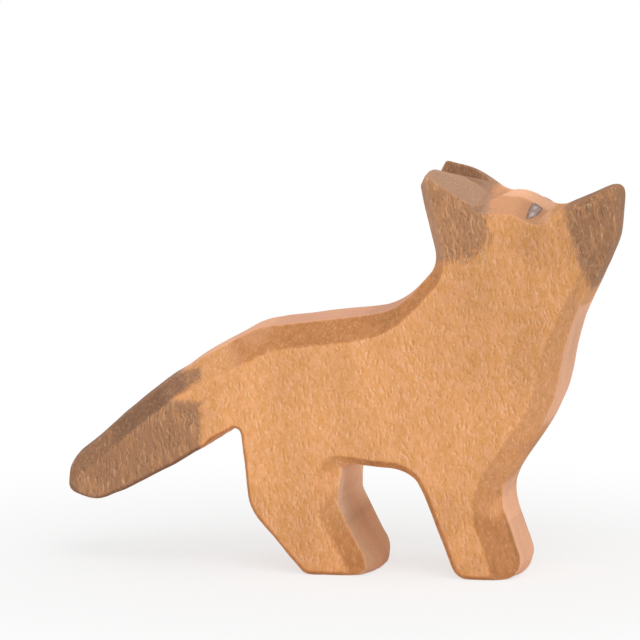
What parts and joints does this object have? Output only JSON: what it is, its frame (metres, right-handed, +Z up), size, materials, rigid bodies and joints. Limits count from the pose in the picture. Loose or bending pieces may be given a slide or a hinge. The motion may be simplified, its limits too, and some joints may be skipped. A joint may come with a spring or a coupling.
{
  "type": "dog figurine",
  "caption": "Small carved wooden toy dog standing with its head raised and tail hanging, flat sawn sides, knife-cut bevels, stained ears, muzzle and tail.",
  "frame": {"origin": "on the ground, under the middle of the dog's length and of the board's thickness", "axes": "+X the way the dog faces, +Y to the dog's left through the board's thickness, +Z up"},
  "size_m": [0.0834, 0.022, 0.0605],
  "materials": {
    "bare_wood": "sawn and knife-cut, oiled, matte",
    "stained_wood": "thin brushed stain over sawn wood, matte",
    "eye_paint": "matte paint dab on wood"
  },
  "bodies": {
    "root": {"torso": "bare_wood", "hind_legs": "bare_wood", "front_legs": "bare_wood", "head": "bare_wood", "muzzle": "stained_wood", "right_ear": "stained_wood", "left_ear": "stained_wood", "tail": "stained_wood", "right_eye": "eye_paint", "left_eye": "eye_paint"}
  },
  "joints": []
}
